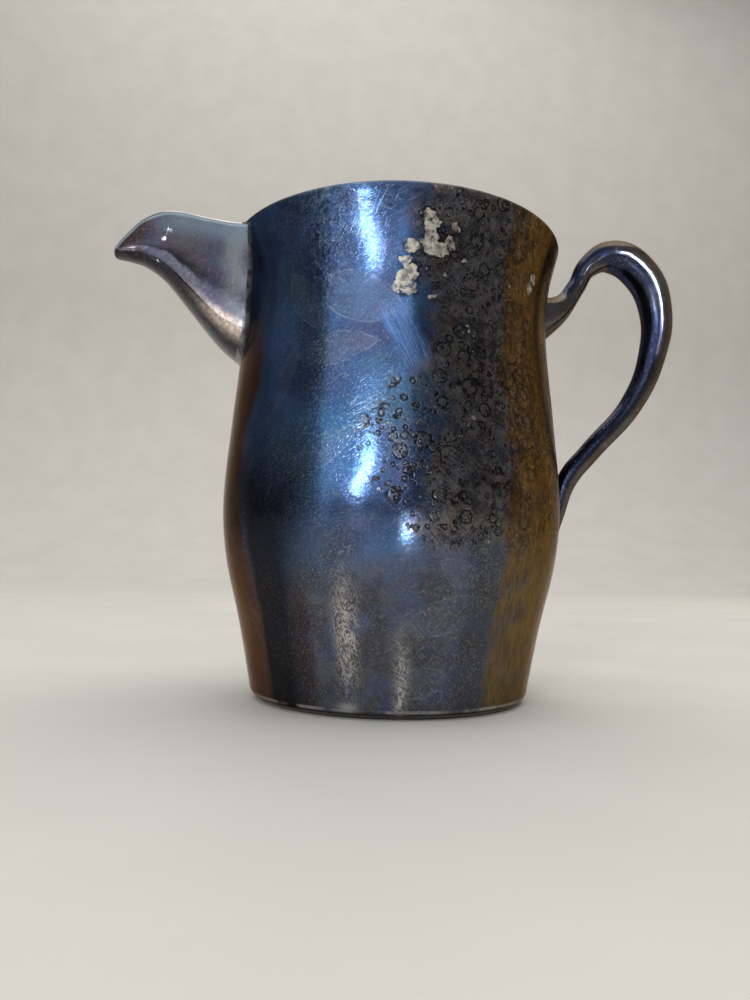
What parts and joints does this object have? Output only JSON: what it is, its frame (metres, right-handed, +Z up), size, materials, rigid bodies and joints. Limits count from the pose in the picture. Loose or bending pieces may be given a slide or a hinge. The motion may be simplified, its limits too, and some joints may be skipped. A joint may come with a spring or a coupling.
{
  "type": "cream jug",
  "caption": "Small turned cream jug with a waisted body, flat base, open beak spout and ear-shaped handle, in tarnished silver plate.",
  "frame": {"origin": "centre of the flat underside, on the body's axis", "axes": "+Z up along the body's axis, +X towards the handle, -X towards the spout, +Y to the left of someone facing +X"},
  "size_m": [0.1189, 0.0672, 0.0982],
  "materials": {
    "body_silver": "polished silver plate, heavily tarnished blue-black with brown spotting",
    "base_silver": "silver plate, worn and tarnished grey-brown",
    "spout_silver": "polished silver plate, grey-violet tarnish",
    "handle_silver": "polished cast silver plate, blue-black tarnish"
  },
  "bodies": {
    "root": {"body": "body_silver", "base_disc": "base_silver", "spout": "spout_silver", "handle": "handle_silver"}
  },
  "joints": []
}
